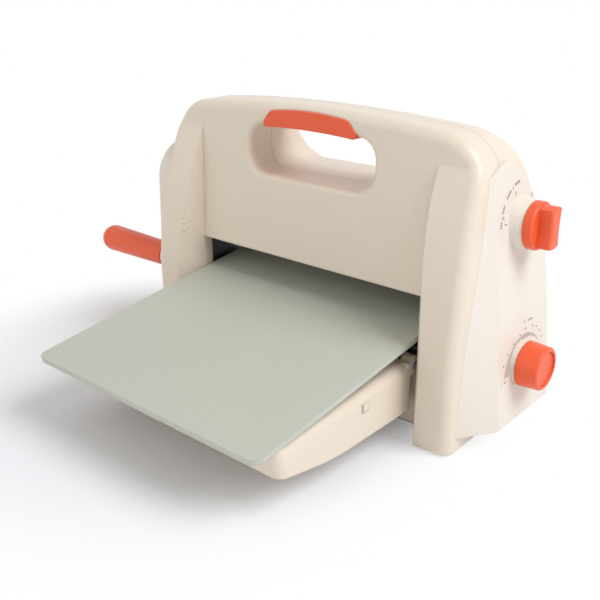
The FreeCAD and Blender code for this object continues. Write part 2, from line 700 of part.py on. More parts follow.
def left_cover_outline(wall):
    """The rounded block of the left cover as seen from its side."""
    bottom = LEFT_BOTTOM_Z + wall
    depth = LEFT_DEPTH - wall
    top = LEFT_TOP_Z - wall
    flat = LEFT_DEPTH - (LEFT_TOP_Z - LEFT_ARCH_Z)
    face = loop_face([
        V(0, -depth, bottom),
        V(0, -depth, LEFT_ARCH_Z),
        (V(0, -flat - (depth - flat) / sqrt(2), LEFT_ARCH_Z + (top - LEFT_ARCH_Z) / sqrt(2)),
         V(0, -flat, top)),
        V(0, flat, top),
        (V(0, flat + (depth - flat) / sqrt(2), LEFT_ARCH_Z + (top - LEFT_ARCH_Z) / sqrt(2)),
         V(0, depth, LEFT_ARCH_Z)),
        V(0, depth, bottom),
    ])
    return face.extrude(V(FAR, 0, 0)).common(hood(CASE_EDGE_RADIUS + wall))


def left_gear_cover():
    """The cover over the gears, with the outer crank bearing's boss."""
    outside = front_outline(0)
    cover = left_cover_outline(0).common(lean_block(LEFT_FACE_X, LEFT_FACE_LEAN, 0)).cut(outside)
    outer = [e for e in face_edges(cover, LEFT_FACE_X, LEFT_FACE_LEAN)
             if e.BoundBox.ZMax > LEFT_BOTTOM_Z + MARGIN]
    cover = cover.makeFillet(LEFT_EDGE_RADIUS, outer)
    room = left_cover_outline(COVER_WALL).common(lean_block(LEFT_FACE_X, LEFT_FACE_LEAN, COVER_WALL))
    room = room.cut(outside).cut(rod_x(CRANK_BUSH_RADIUS + COVER_WALL, 0, FAR, CRANK_Y, CRANK_Z))
    cover = cover.cut(room).cut(rod_x(CRANK_BUSH_RADIUS, 0, FAR, CRANK_Y, CRANK_Z))
    return flip_x(cover)


def base_plate():
    half = BASE_HALF_WIDTH - WALL - BASE_GAP
    middle = box(-half, half, -MECHANISM_DEPTH + BASE_GAP, MECHANISM_DEPTH - BASE_GAP,
                 BASE_BOTTOM_Z, BASE_TOP_Z)
    front = LEG_FOOT_DEPTH - WALL - BASE_GAP
    rear = BACK_DEPTH - WALL - BASE_GAP
    inner = CHEEK_FRONT_X + WALL + BASE_GAP
    wing = box(inner, half, -front, rear, BASE_BOTTOM_Z, BASE_TOP_Z)
    plate = join([middle, wing, flip_x(wing)])
    holes = []
    for x in (-BASE_SCREW_X, BASE_SCREW_X):
        for y in (-BASE_SCREW_Y, BASE_SCREW_Y):
            holes.append(rod_z(SCREW_RADIUS + SCREW_GAP, 0, FAR, x, y))
    return plate.cut(holes)


def base_pad():
    """The non-slip rubber pad that the machine stands on."""
    pad = box(-PAD_HALF_WIDTH, PAD_HALF_WIDTH, -PAD_HALF_DEPTH, PAD_HALF_DEPTH, 0, PAD_HEIGHT)
    return pad.makeFillet(PAD_CORNER, edges_along(pad, V(0, 0, 1)))


def base_screws():
    screws = []
    for x in (-BASE_SCREW_X, BASE_SCREW_X):
        for y in (-BASE_SCREW_Y, BASE_SCREW_Y):
            head = rod_z(SCREW_HEAD_RADIUS, BASE_BOTTOM_Z - SCREW_HEAD_HEIGHT, BASE_BOTTOM_Z, x, y)
            screws.append(join([head, rod_z(SCREW_RADIUS, BASE_BOTTOM_Z, BASE_TOP_Z + SCREW_DEPTH, x, y)]))
    return Part.makeCompound(screws)


def shell_screws():
    seat = shell_screw_seat()
    return Part.makeCompound([screw_y(PARTING_Y - SCREW_DEPTH, seat, x, SHELL_SCREW_Z)
                              for x in (-SHELL_SCREW_X, SHELL_SCREW_X)])


def rod_places():
    return [(y, z) for y in (-ROD_Y, ROD_Y) for z in (ROD_LOW_Z, ROD_HIGH_Z)]


def frame_plate():
    """One steel side plate, on the knob side, with windows for the bearing blocks."""
    plate = box(FRAME_X, FRAME_OUTER_X, -FRAME_DEPTH, FRAME_DEPTH, BASE_TOP_Z, FRAME_TOP_Z)
    plate = plate.makeFillet(FRAME_CORNER, [e for e in edges_along(plate, V(1, 0, 0))
                                            if edge_middle(e).z > BASE_TOP_Z])
    plate = plate.common(hood(WALL + BASE_GAP))
    lower_bottom = LOWER_BLOCK_BOTTOM_Z - CARRIAGE_TRAVEL - 2 * SLIDE_GAP
    lower_top = LOWER_AXIS_Z + BLOCK_RISE + 2 * SLIDE_GAP
    upper_top = BAR_TOP_Z + BAR_TRAVEL + 2 * SLIDE_GAP
    cuts = [
        box(0, FAR, -BLOCK_HALF_DEPTH, BLOCK_HALF_DEPTH, lower_bottom, lower_top),
        box(0, FAR, -BLOCK_HALF_DEPTH, BLOCK_HALF_DEPTH, UPPER_BLOCK_BOTTOM_Z, upper_top),
        rod_x(CONTROL_SHAFT_RADIUS + RUN_GAP, 0, FAR, 0, CAM_SHAFT_Z),
    ]
    for y, z in rod_places():
        cuts.append(rod_x(SCREW_RADIUS + SCREW_GAP, 0, FAR, y, z))
    return plate.cut(cuts)


def right_frame_plate():
    return frame_plate().cut(rod_x(MODE_SHAFT_RADIUS + RUN_GAP, 0, FAR, KNOB_Y, MODE_Z))


def left_frame_plate():
    return flip_x(frame_plate()).cut(rod_x(CRANK_BUSH_RADIUS, -FAR, 0, CRANK_Y, CRANK_Z))


def tie_rods():
    rods = []
    for y, z in rod_places():
        rod = rod_x(ROD_RADIUS, -FRAME_X, FRAME_X, y, z)
        for end in (-FRAME_X, FRAME_X):
            reach = SCREW_DEPTH + MARGIN
            rod = rod.cut(rod_x(SCREW_RADIUS + SCREW_GAP, end - reach, end + reach, y, z))
        rods.append(rod)
    return Part.makeCompound(rods)


def frame_screws():
    screws = []
    for y, z in rod_places():
        shank = rod_x(SCREW_RADIUS, FRAME_X - SCREW_DEPTH, FRAME_OUTER_X, y, z)
        head = rod_x(SCREW_HEAD_RADIUS, FRAME_OUTER_X, FRAME_OUTER_X + SCREW_HEAD_HEIGHT, y, z)
        screw = join([shank, head])
        screws += [screw, flip_x(screw)]
    return Part.makeCompound(screws)


def both_sides(solid):
    return Part.makeCompound([solid, flip_x(solid)])


def bearing_block(outer_x, half_depth, bottom, top, axis_z):
    block = box(BLOCK_INNER_X, outer_x, -half_depth, half_depth, bottom, top)
    return block.cut(rod_x(BUSH_RADIUS, 0, FAR, 0, axis_z))


def upper_bearing_blocks():
    return both_sides(bearing_block(UPPER_BLOCK_OUTER_X, BLOCK_HALF_DEPTH, UPPER_BLOCK_BOTTOM_Z,
                                    UPPER_BLOCK_TOP_Z, UPPER_AXIS_Z))


def lower_bearing_blocks():
    return both_sides(bearing_block(LOWER_BLOCK_OUTER_X, BLOCK_HALF_DEPTH - SLIDE_GAP,
                                    LOWER_BLOCK_BOTTOM_Z, LOWER_AXIS_Z + BLOCK_RISE, LOWER_AXIS_Z))


def bushes(outer_x, axis_z):
    bush = rod_x(BUSH_RADIUS, BLOCK_INNER_X, outer_x, 0, axis_z)
    return both_sides(bush.cut(rod_x(JOURNAL_RADIUS + RUN_GAP, 0, FAR, 0, axis_z)))


def roller_tube(axis_z):
    """A steel roller tube, plugged at both ends and bored for its shaft."""
    half = ROLLER_HALF_LENGTH
    tube = rod_x(ROLLER_RADIUS, -half, half, 0, axis_z)
    plug = 2 * ROLLER_WALL
    tube = tube.cut(rod_x(ROLLER_RADIUS - ROLLER_WALL, -half + plug, half - plug, 0, axis_z))
    return tube.cut(rod_x(JOURNAL_RADIUS, -FAR, FAR, 0, axis_z))


def roller_shaft(axis_z):
    return rod_x(JOURNAL_RADIUS, -GEAR_INNER_X - GEAR_WIDTH, LOWER_BLOCK_OUTER_X, 0, axis_z)


def involute(base_radius, radius):
    """Angle that an involute has turned through at a radius."""
    if radius <= base_radius:
        return 0.0
    ratio = base_radius / radius
    return tan(acos(ratio)) - acos(ratio)


def gear(module, teeth, x0, width, y, z, tooth_angle, bore):
    """A spur gear along X with one tooth's middle at an angle from +Y towards +Z."""
    pitch = module * teeth / 2
    base = pitch * cos(PRESSURE_ANGLE)
    tip = pitch + ADDENDUM * module
    root = pitch - DEDENDUM * module
    half_at_pitch = (pi * module / 2 - BACKLASH) / (2 * pitch)
    points = []
    for tooth in range(teeth):
        middle = tooth_angle + tooth * 2 * pi / teeth
        flank = []
        for share in range(FLANK_POINTS):
            radius = root + (tip - root) * share / (FLANK_POINTS - 1)
            half = half_at_pitch + involute(base, pitch) - involute(base, radius)
            flank.append((radius, half))
        points += [(radius, middle - half) for radius, half in flank]
        points += [(radius, middle + half) for radius, half in reversed(flank)]
    face = loop_face([V(x0, y + r * cos(a), z + r * sin(a)) for r, a in points])
    return face.extrude(V(width, 0, 0)).cut(rod_x(bore, -FAR, FAR, y, z))


def mesh_angle(direction, radius, tooth_angle, module, mate_radius):
    """Tooth angle of a mate, in a direction from a gear, so that its teeth fall in the gear's gaps."""
    arc = radius * (tooth_angle - direction) + pi * module / 2
    return direction + pi - arc / mate_radius


ROLLER_PITCH = GEAR_MODULE * ROLLER_TEETH / 2
PINION_PITCH = GEAR_MODULE * PINION_TEETH / 2
CAM_PITCH = CAM_MODULE * CAM_TEETH / 2
LOWER_TOOTH = pi / 2
UPPER_TOOTH = mesh_angle(pi / 2, ROLLER_PITCH, LOWER_TOOTH, GEAR_MODULE, ROLLER_PITCH)
PINION_TOOTH = mesh_angle(CRANK_ANGLE, ROLLER_PITCH, UPPER_TOOTH, GEAR_MODULE, PINION_PITCH)
CAM_TOOTH = pi / 2
CAM_DIRECTION = acos(KNOB_Y / CAM_DISTANCE)
PRESSURE_TOOTH = mesh_angle(CAM_DIRECTION, CAM_PITCH, CAM_TOOTH, CAM_MODULE, CAM_PITCH)


def roller_gear(axis_z, tooth):
    return gear(GEAR_MODULE, ROLLER_TEETH, -GEAR_INNER_X - GEAR_WIDTH, GEAR_WIDTH, 0, axis_z, tooth,
                JOURNAL_RADIUS)


def crank_pinion():
    return gear(GEAR_MODULE, PINION_TEETH, -GEAR_INNER_X - GEAR_WIDTH, GEAR_WIDTH, CRANK_Y, CRANK_Z,
                PINION_TOOTH, CRANK_SHAFT_RADIUS)


def crank_shaft():
    return rod_x(CRANK_SHAFT_RADIUS, -CRANK_ARM_X, -FRAME_X, CRANK_Y, CRANK_Z)


def crank_bushes():
    """A bush in the left frame plate and a longer one in the gear cover."""
    face_x = LEFT_FACE_X - LEFT_FACE_LEAN * CRANK_Z
    spans = [(-FRAME_OUTER_X, -FRAME_X), (-face_x - CRANK_BUSH_PROUD, -WAIST_HALF_WIDTH)]
    rings = []
    for x0, x1 in spans:
        ring = rod_x(CRANK_BUSH_RADIUS, x0, x1, CRANK_Y, CRANK_Z)
        rings.append(ring.cut(rod_x(CRANK_SHAFT_RADIUS + RUN_GAP, -FAR, FAR, CRANK_Y, CRANK_Z)))
    return Part.makeCompound(rings)


def crank_arm():
    """The flat arm from the crank shaft to the grip, with round ends."""
    x0, x1 = -CRANK_ARM_X - CRANK_ARM_THICK, -CRANK_ARM_X
    hub = rod_x(CRANK_HUB_RADIUS, x0, x1, CRANK_Y, CRANK_Z)
    eye = rod_x(CRANK_EYE_RADIUS, x0, x1, GRIP_Y, GRIP_Z)
    reach = V(0, GRIP_Y - CRANK_Y, GRIP_Z - CRANK_Z)
    side = V(0, -reach.z, reach.y)
    side.normalize()
    start, end = V(x0, CRANK_Y, CRANK_Z), V(x0, GRIP_Y, GRIP_Z)
    web = loop_face([start + side * CRANK_HUB_RADIUS, end + side * CRANK_EYE_RADIUS,
                     end - side * CRANK_EYE_RADIUS, start - side * CRANK_HUB_RADIUS])
    arm = join([hub, eye, web.extrude(V(CRANK_ARM_THICK, 0, 0))])
    rims = [e for e in arm.Edges if e.BoundBox.XLength < TINY and e.BoundBox.XMax < x0 + MARGIN]
    arm = arm.makeFillet(ARM_EDGE, rims)
    return arm.cut(rod_x(GRIP_PIN_RADIUS, -FAR, FAR, GRIP_Y, GRIP_Z))


def grip_pin():
    """The pin that the crank grip spins on, with a head inside the grip's end."""
    tip = -GRIP_END_X + GRIP_END_RADIUS
    pin = rod_x(GRIP_PIN_RADIUS, tip, -CRANK_ARM_X, GRIP_Y, GRIP_Z)
    head = rod_x(GRIP_PIN_RADIUS + GRIP_HEAD, tip, tip + GRIP_HEAD, GRIP_Y, GRIP_Z)
    return join([pin, head])


def crank_grip():
    """The tapered grip with a round end, bored for its pin."""
    root = -CRANK_ARM_X - CRANK_ARM_THICK - GRIP_GAP
    ball = -GRIP_END_X + GRIP_END_RADIUS
    face = loop_face([
        V(root, GRIP_Y, GRIP_Z), V(root, GRIP_Y, GRIP_Z + GRIP_ROOT_RADIUS),
        V(ball, GRIP_Y, GRIP_Z + GRIP_END_RADIUS),
        (V(ball - GRIP_END_RADIUS / sqrt(2), GRIP_Y, GRIP_Z + GRIP_END_RADIUS / sqrt(2)),
         V(-GRIP_END_X, GRIP_Y, GRIP_Z)),
    ])
    grip = face.revolve(V(0, GRIP_Y, GRIP_Z), V(1, 0, 0), 360)
    bore = rod_x(GRIP_PIN_RADIUS + RUN_GAP, ball, 0, GRIP_Y, GRIP_Z)
    well = rod_x(GRIP_PIN_RADIUS + GRIP_HEAD + GRIP_GAP, ball - GRIP_GAP, ball + GRIP_HEAD + GRIP_GAP,
                 GRIP_Y, GRIP_Z)
    return grip.cut([bore, well])


def knob_flange(z, outer_x, root_radius, top_radius, bore):
    """A ring between the leaning cover and a knob."""
    face_x = RIGHT_FACE_X - RIGHT_FACE_LEAN * z
    start = face_x - RIGHT_FACE_LEAN * root_radius - MARGIN
    ring = Part.makeCone(root_radius, top_radius, outer_x - start, V(start, KNOB_Y, z),
                         V(1, 0, 0))
    return ring.cut([rod_x(bore + RUN_GAP, 0, FAR, KNOB_Y, z), right_cover_block(0)])


def pressure_flange():
    return knob_flange(PRESSURE_Z, PRESSURE_KNOB_X, KNOB_RADIUS, KNOB_FACE_RADIUS,
                       CONTROL_SHAFT_RADIUS)


def mode_flange():
    return knob_flange(MODE_Z, MODE_FLANGE_X, KNOB_RADIUS + KNOB_RIM, KNOB_FACE_RADIUS, MODE_SHAFT_RADIUS)


def pressure_knob():
    """A round knob with a raised rim on its face."""
    x0 = PRESSURE_KNOB_X + GRIP_GAP
    x1 = x0 + KNOB_DEPTH
    knob = Part.makeCone(KNOB_RADIUS, KNOB_FACE_RADIUS, KNOB_DEPTH, V(x0, KNOB_Y, PRESSURE_Z), V(1, 0, 0))
    knob = knob.makeFillet(KNOB_EDGE, [e for e in knob.Edges if e.BoundBox.XMin > x1 - MARGIN])
    knob = knob.cut(rod_x(KNOB_FACE_RADIUS - KNOB_RIM, x1 - KNOB_DISH, FAR, KNOB_Y, PRESSURE_Z))
    return knob.cut(rod_x(CONTROL_SHAFT_RADIUS, 0, x1 - KNOB_WEB, KNOB_Y, PRESSURE_Z))


def pressure_shaft():
    tip = PRESSURE_KNOB_X + GRIP_GAP + KNOB_DEPTH - KNOB_WEB
    return rod_x(CONTROL_SHAFT_RADIUS, CAM_GEAR_X, tip, KNOB_Y, PRESSURE_Z)


def pressure_gear():
    return gear(CAM_MODULE, CAM_TEETH, CAM_GEAR_X, CAM_GEAR_WIDTH, KNOB_Y, PRESSURE_Z, PRESSURE_TOOTH,
                CONTROL_SHAFT_RADIUS)


def cam_shaft():
    return rod_x(CONTROL_SHAFT_RADIUS, -CAM_X - CAM_WIDTH, CAM_GEAR_X + CAM_GEAR_WIDTH, 0, CAM_SHAFT_Z)


def cam_gear():
    return gear(CAM_MODULE, CAM_TEETH, CAM_GEAR_X, CAM_GEAR_WIDTH, 0, CAM_SHAFT_Z, CAM_TOOTH,
                CONTROL_SHAFT_RADIUS)


def roller_cams():
    cam = rod_x(CAM_RADIUS, CAM_X, CAM_X + CAM_WIDTH, 0, CAM_SHAFT_Z + CAM_THROW)
    return both_sides(cam.cut(rod_x(CONTROL_SHAFT_RADIUS, 0, FAR, 0, CAM_SHAFT_Z)))


def mode_knob():
    """A round disc with a waisted grip bar across its face."""
    x0 = MODE_FLANGE_X + GRIP_GAP
    x1 = x0 + MODE_DISC_DEPTH
    disc = rod_x(KNOB_RADIUS, x0, x1, KNOB_Y, MODE_Z)
    disc = disc.makeFillet(KNOB_EDGE, [e for e in disc.Edges if e.BoundBox.XMin > x1 - MARGIN])
    waist = MODE_BAR_HALF_WIDTH
    end = MODE_BAR_HALF_WIDTH * BAR_FLARE
    tall = sqrt(KNOB_RADIUS ** 2 - end ** 2) - KNOB_EDGE
    low, high = MODE_Z - tall, MODE_Z + tall
    root = x1 - KNOB_EDGE
    bar = loop_face([
        V(root, KNOB_Y - end, low),
        (V(root, KNOB_Y, MODE_Z - KNOB_RADIUS + KNOB_EDGE), V(root, KNOB_Y + end, low)),
        (V(root, KNOB_Y + waist, MODE_Z), V(root, KNOB_Y + end, high)),
        (V(root, KNOB_Y, MODE_Z + KNOB_RADIUS - KNOB_EDGE), V(root, KNOB_Y - end, high)),
        (V(root, KNOB_Y - waist, MODE_Z), V(root, KNOB_Y - end, low)),
    ]).extrude(V(MODE_BAR_DEPTH + KNOB_EDGE, 0, 0))
    face = x1 + MODE_BAR_DEPTH
    bar = bar.makeFillet(KNOB_EDGE, [e for e in bar.Edges if e.BoundBox.XMin > face - MARGIN])
    knob = join([disc, bar])
    return knob.cut(rod_x(MODE_SHAFT_RADIUS, 0, x1, KNOB_Y, MODE_Z))


def mode_shaft():
    tip = MODE_FLANGE_X + GRIP_GAP + MODE_DISC_DEPTH
    return rod_x(MODE_SHAFT_RADIUS, FRAME_X, tip, KNOB_Y, MODE_Z)


def mode_cam():
    cam = rod_x(MODE_CAM_RADIUS, CAM_X, CAM_X + CAM_WIDTH, KNOB_Y, MODE_Z - MODE_THROW)
    return cam.cut(rod_x(MODE_SHAFT_RADIUS, 0, FAR, KNOB_Y, MODE_Z))


def preload_bar():
    half = CAM_X + CAM_WIDTH
    return box(-half, half, -BAR_HALF_DEPTH, BAR_HALF_DEPTH, BAR_BOTTOM_Z, BAR_TOP_Z)


def preload_springs():
    """Two coil springs between the upper bearing blocks and the preload bar."""
    low = UPPER_BLOCK_TOP_Z + SPRING_WIRE / 2 + RUN_GAP
    high = BAR_BOTTOM_Z - SPRING_WIRE / 2 - RUN_GAP
    helix = Part.makeHelix((high - low) / SPRING_TURNS, high - low, SPRING_RADIUS)
    helix.translate(V(BLOCK_SPRING_X, 0, low))
    start = V(BLOCK_SPRING_X + SPRING_RADIUS, 0, low)
    ring = Part.Wire([Part.makeCircle(SPRING_WIRE / 2, start, V(0, 1, 0))])
    coil = Part.Wire(helix.Edges).makePipeShell([ring], True, True)
    return both_sides(coil)


def tray_outline(wall):
    """The tray as seen from its side: a flat top, a keel that rises to a blunt tip."""
    return [
        V(0, TRAY_REAR_Y - wall, TRAY_REAR_TOP_Z - wall),
        V(0, TRAY_REAR_Y - wall, TRAY_KEEL_Z),
        V(0, TRAY_KEEL_Y, TRAY_KEEL_Z),
        V(0, TRAY_TIP_Y + wall + TRAY_TIP_SETBACK, TRAY_TIP_BOTTOM_Z),
        V(0, TRAY_TIP_Y + wall, TRAY_TIP_TOP_Z - wall),
    ]


def tray_block():
    """The tray's outside, with a swept keel, a round tip and soft edges along its sides."""
    half = TRAY_HALF_WIDTH
    block = loop_face(tray_outline(0)).extrude(V(2 * half, 0, 0))
    block.translate(V(-half, 0, 0))
    for height, radius in ((TRAY_KEEL_Z, TRAY_KEEL_RADIUS), (TRAY_TIP_TOP_Z, TRAY_TIP_ROUND)):
        ridge = [e for e in edges_along(block, V(1, 0, 0))
                 if abs(edge_middle(e).z - height) < NEAR and edge_middle(e).y < TRAY_REAR_Y - MARGIN]
        block = block.makeFillet(radius, ridge)
    sides = [e for e in block.Edges if abs(abs(edge_middle(e).x) - half) < NEAR
             and edge_middle(e).y < TRAY_REAR_Y - MARGIN and edge_middle(e).z > TRAY_TIP_BOTTOM_Z + MARGIN]
    return block.makeFillet(TRAY_EDGE_RADIUS, sides)


def front_tray():
    """The fold-out tray: a moulded top with side walls, hinge knuckles, latch nubs and stops."""
    half = TRAY_HALF_WIDTH
    inner_half = half - TRAY_WALL
    inner = loop_face(tray_outline(TRAY_WALL)).extrude(V(2 * inner_half, 0, 0))
    inner.translate(V(-inner_half, 0, 0))
    below = inner.copy()
    below.translate(V(0, 0, -TRAY_WALL - MARGIN))
    pieces = [tray_block().cut([inner, below])]
    for side in (-1, 1):
        x0, x1 = sorted((side * (half - KNUCKLE_LENGTH), side * half))
        pieces.append(rod_x(KNUCKLE_RADIUS, x0, x1, HINGE_Y, HINGE_Z))
        pieces.append(box(x0, x1, TRAY_REAR_Y - TRAY_WALL, HINGE_Y, HINGE_Z - KNUCKLE_RADIUS,
                          TRAY_REAR_TOP_Z))
        nub_x0, nub_x1 = sorted((side * (half - MARGIN), side * (half + NUB_PROUD)))
        pieces.append(box(nub_x0, nub_x1, NUB_Y - NUB_SIZE / 2, NUB_Y + NUB_SIZE / 2,
                          NUB_Z - NUB_SIZE / 2, NUB_Z + NUB_SIZE / 2))
        stop_x0, stop_x1 = sorted((side * (half - KNUCKLE_LENGTH - STOP_WIDTH),
                                   side * (half - KNUCKLE_LENGTH)))
        pieces.append(box(stop_x0, stop_x1, TRAY_REAR_Y - TRAY_WALL, -PANEL_LOW_DEPTH - SLIDE_GAP,
                          STOP_LOW_Z, STOP_HIGH_Z))
    tray = join(pieces)
    return tray.cut(rod_x(HINGE_PIN_RADIUS + RUN_GAP, -FAR, FAR, HINGE_Y, HINGE_Z))


def tray_hinge_pins():
    return both_sides(rod_x(HINGE_PIN_RADIUS, TRAY_HALF_WIDTH - KNUCKLE_LENGTH,
                            TRAY_HALF_WIDTH + HINGE_PIN_REACH, HINGE_Y, HINGE_Z))


def carrier_plate():
    """The flat plate on the lower roller, tilted down towards the tray's tip."""
    tilt = radians(PLATE_TILT)
    front = PLATE_FRONT_Y / cos(tilt)
    plate = box(-PLATE_WIDTH / 2, PLATE_WIDTH / 2, front, front + PLATE_LENGTH, 0, PLATE_THICK)
    plate = plate.makeFillet(PLATE_CORNER, edges_along(plate, V(0, 0, 1)))
    plate.translate(V(0, 0, ROLLER_RADIUS + PLATE_GAP))
    plate.rotate(V(0, 0, 0), V(1, 0, 0), PLATE_TILT)
    plate.translate(V(0, 0, LOWER_AXIS_Z))
    return plate


def write_pieces():
    front, rear = shells()
    pieces = {
        "front_shell": front,
        "rear_shell": rear,
        "right_control_cover": right_control_cover(),
        "left_gear_cover": left_gear_cover(),
        "grip_insert": grip_insert(),
        "base_plate": base_plate(),
        "base_pad": base_pad(),
        "base_screws": base_screws(),
        "shell_screws": shell_screws(),
        "left_frame_plate": left_frame_plate(),
        "right_frame_plate": right_frame_plate(),
        "tie_rods": tie_rods(),
        "frame_screws": frame_screws(),
        "upper_bearing_blocks": upper_bearing_blocks(),
        "upper_bushes": bushes(UPPER_BLOCK_OUTER_X, UPPER_AXIS_Z),
        "lower_bearing_blocks": lower_bearing_blocks(),
        "lower_bushes": bushes(LOWER_BLOCK_OUTER_X, LOWER_AXIS_Z),
        "upper_roller": roller_tube(UPPER_AXIS_Z),
        "upper_roller_shaft": roller_shaft(UPPER_AXIS_Z),
        "upper_roller_gear": roller_gear(UPPER_AXIS_Z, UPPER_TOOTH),
        "lower_roller": roller_tube(LOWER_AXIS_Z),
        "lower_roller_shaft": roller_shaft(LOWER_AXIS_Z),
        "lower_roller_gear": roller_gear(LOWER_AXIS_Z, LOWER_TOOTH),
        "crank_shaft": crank_shaft(),
        "crank_pinion": crank_pinion(),
        "crank_bushes": crank_bushes(),
        "crank_arm": crank_arm(),
        "grip_pin": grip_pin(),
        "crank_grip": crank_grip(),
        "pressure_flange": pressure_flange(),
        "pressure_knob": pressure_knob(),
        "pressure_shaft": pressure_shaft(),
        "pressure_gear": pressure_gear(),
        "cam_shaft": cam_shaft(),
        "cam_gear": cam_gear(),
        "roller_cams": roller_cams(),
        "mode_flange": mode_flange(),
        "mode_knob": mode_knob(),
        "mode_shaft": mode_shaft(),
        "mode_cam": mode_cam(),
        "preload_bar": preload_bar(),
        "preload_springs": preload_springs(),
        "front_tray": front_tray(),
        "tray_hinge_pins": tray_hinge_pins(),
        "carrier_plate": carrier_plate(),
    }
    os.makedirs("parts", exist_ok=True)
    for name, shape in pieces.items():
        print(name, "valid" if shape.isValid() else "NOT VALID", len(shape.Solids), round(shape.Volume))
        shape.exportStep("parts/" + name + ".step")


write_pieces()
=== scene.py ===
"""Die cutting machine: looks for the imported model, in metres, in the CAD frame."""

import json
from math import atan2, cos, hypot, pi, radians, sin

import bmesh
import bpy
from mathutils import Matrix, Vector


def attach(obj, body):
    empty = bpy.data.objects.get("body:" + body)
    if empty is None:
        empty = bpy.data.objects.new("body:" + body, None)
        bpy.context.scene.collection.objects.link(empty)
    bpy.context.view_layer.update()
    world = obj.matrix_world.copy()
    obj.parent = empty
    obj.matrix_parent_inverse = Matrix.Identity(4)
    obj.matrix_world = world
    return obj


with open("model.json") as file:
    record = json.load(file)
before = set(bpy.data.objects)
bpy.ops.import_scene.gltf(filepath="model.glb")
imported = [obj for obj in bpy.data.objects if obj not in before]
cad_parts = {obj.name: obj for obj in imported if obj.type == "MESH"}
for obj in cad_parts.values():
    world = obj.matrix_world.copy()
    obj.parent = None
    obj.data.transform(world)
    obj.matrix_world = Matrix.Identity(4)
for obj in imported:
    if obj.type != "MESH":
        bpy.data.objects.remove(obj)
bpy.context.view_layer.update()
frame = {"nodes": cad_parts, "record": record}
MM = 0.001


def joint_axis(name):
    """Y and Z, in millimetres, of a joint whose axis lies along X."""
    joints = {joint["name"]: joint for joint in frame["record"]["behaviour"]["joints"]}
    _, y, z = joints[name]["pos_m"]
    return y / MM, z / MM


# Camera, in metres, with its lens and sensor in millimetres
CAMERA_TARGET = Vector((0.0088, -0.0645, 0.0878))
CAMERA_AZIMUTH = radians(41.0)
CAMERA_ELEVATION = radians(21.7)
CAMERA_ROLL = radians(-0.2)
CAMERA_DISTANCE = 0.6555
CAMERA_LENS = 49.824
CAMERA_SENSOR = 36.0

# Studio, in metres and watts: the floor's shadow fades to white between two distances from its middle
WHITE = (1.0, 1.0, 1.0, 1.0)
WORLD_LIGHT = 0.50
FLOOR_RADIUS = 4.0
FLOOR_SIDES = 96
FLOOR_COLOUR = (0.945, 0.96, 0.99, 1.0)
FLOOR_ROUGHNESS = 0.9
SHADOW_MIDDLE = (-0.09, -0.10, 0.0)
SHADOW_FADE = (0.15, 0.29)
LAMP_TARGET = Vector((0.0, 0.0, 0.1))
KEY_PLACE = (1.20, 0.06, 1.35)
KEY_SIZE = 1.0
KEY_POWER = 19.0
KEY_COLOUR = (0.97, 0.98, 1.0)
FILL_PLACE = (-0.7, -1.5, 0.8)
FILL_SIZE = 1.6
FILL_POWER = 5.8
FILL_COLOUR = (1.0, 0.95, 0.88)

# Axes of the two knobs, as Y and Z in millimetres
PRESSURE_AXIS = joint_axis("pressure_turn")
MODE_AXIS = joint_axis("mode_turn")

# Right cover's leaning face, in millimetres: its X at floor level and its lean per millimetre up
COVER_FACE_X = 171.3
COVER_LEAN = 0.095

# Prints are drawn flat, in millimetres, with Y to the right and Z up, then laid just over the face
PRINT_LIFT = 0.06
PRINT_PLACE = Matrix.Scale(MM, 4) @ Matrix((
    (0.0, -COVER_LEAN, 1.0, COVER_FACE_X + PRINT_LIFT),
    (1.0, 0.0, 0.0, 0.0),
    (0.0, 1.0, 0.0, 0.0),
    (0.0, 0.0, 0.0, 1.0),
))

# Wedge-shaped scale of the pressure knob: angles in degrees, each with an outer and an inner radius
WEDGE_CENTRE = (8.0, 51.0)
WEDGE = ((176, 28.2, 20.8), (150, 26.6, 19.6), (128, 26.0, 19.2), (95, 26.4, 21.6), (60, 28.2, 25.8),
         (28, 30.1, 29.8))
WEDGE_STEPS = 48

# Dots round the wedge
DOTS = ((-20.6, 62.8), (-14.0, 69.9), (-5.2, 75.2), (4.5, 79.1), (13.2, 81.4), (24.1, 80.3), (30.8, 77.6),
        (35.9, 73.0), (39.5, 66.8))
DOT_RADIUS = 0.75
DOT_SIDES = 16

# Numbers, as text, Y, Z, height and turn in degrees, and ticks from one end to the other
NUMBERS = (("1", -24.5, 49.4, 4.2, 0), ("9", 38.5, 59.5, 4.2, 0), ("5", 11.5, 87.4, 4.2, 0),
           ("0", -21.3, 172.0, 4.6, 68), ("1", -7.0, 190.2, 4.6, 8), ("2", 20.8, 180.6, 4.6, -40))
TICKS = ((-19.2, 167.2, -16.4, 166.6), (-3.6, 187.3, -2.6, 184.6), (16.4, 177.6, 14.4, 175.6),
         (-20.6, 49.4, -17.0, 49.8), (17.0, 86.6, 24.5, 86.5))
TICK_WIDTH = 0.8

# Rows of short marks round the mode knob: first and last angle of each row and their step, in degrees
MODE_ROWS = ((175, 169), (156, 147), (135, 123), (109, 97))
MODE_ROW_STEP = 3
MODE_ROW_RADII = (31.4, 29.2)

# Beads, in millimetres, with half their sizes: pips on the pressure knob's face and catches for the tray
PIP_FACE_X = 184.9
PIP_RING_RADIUS = 4.0
PIP_ANGLES = (90, 210, 330)
PIP_SIZE = (0.36, 0.9, 0.9)
PIP_SIDES = 16
CATCHES = ((-121.6, -66.5, 121.5), (-121.6, -66.5, 127.5))
CATCH_SIZE = (1.4, 2.4, 1.5)
CATCH_SIDES = 24


